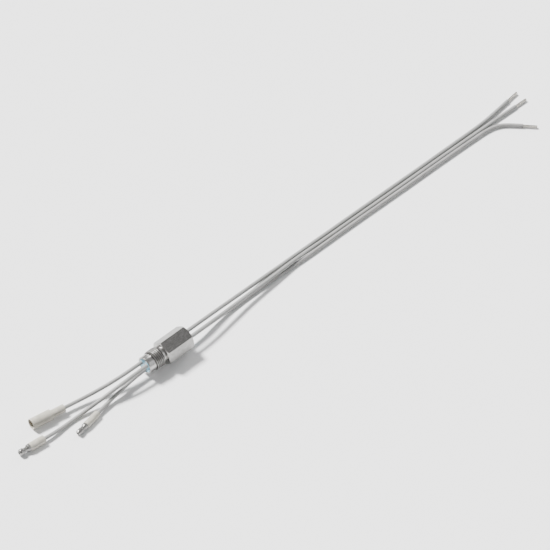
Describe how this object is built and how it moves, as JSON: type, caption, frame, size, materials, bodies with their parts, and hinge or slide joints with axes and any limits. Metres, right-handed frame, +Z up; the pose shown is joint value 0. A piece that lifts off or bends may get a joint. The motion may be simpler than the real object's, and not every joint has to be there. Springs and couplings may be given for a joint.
{
  "type": "flame sensor lead fitting",
  "caption": "Sealed hexagon fitting with an external thread and a plain pilot; short leads end in bullet connectors, long leads in stripped ends.",
  "frame": {"origin": "on the thread's axis, in the plane of the hexagon's seating shoulder at the root of the thread", "axes": "+X along the fitting's axis from the pilot towards the long leads, -X the way the thread goes in, +Z up; the assembly lies on the plane z = -9.026 mm"},
  "size_m": [0.462, 0.0429, 0.018],
  "materials": {
    "body_metal": "nickel plated, turned and satin",
    "potting": "cast epoxy, pale blue, glossy",
    "spacer_plastic": "matt",
    "lead_insulation": "extruded, light grey, satin",
    "sleeve_plastic": "moulded natural nylon, satin",
    "tinned_brass": "tin plated, satin",
    "tinned_copper": "twisted tinned strands"
  },
  "bodies": {
    "root": {"hex_body": "body_metal", "front_potting": "potting", "rear_potting": "potting", "lead_spacer": "spacer_plastic", "splice_1": "tinned_brass", "splice_2": "tinned_brass", "splice_3": "tinned_brass", "short_lead_1_insulation": "lead_insulation", "short_lead_2_insulation": "lead_insulation", "short_lead_3_insulation": "lead_insulation", "long_lead_a_insulation": "lead_insulation", "long_lead_b_insulation": "lead_insulation", "long_lead_c_insulation": "lead_insulation", "short_lead_1_conductor": "tinned_copper", "short_lead_2_conductor": "tinned_copper", "short_lead_3_conductor": "tinned_copper", "long_lead_a_conductor": "tinned_copper", "long_lead_b_conductor": "tinned_copper", "long_lead_c_conductor": "tinned_copper", "socket_terminal": "tinned_brass", "socket_sleeve": "sleeve_plastic", "large_bullet": "tinned_brass", "large_bullet_sleeve": "sleeve_plastic", "small_bullet": "tinned_brass", "small_bullet_sleeve": "sleeve_plastic"}
  },
  "joints": []
}
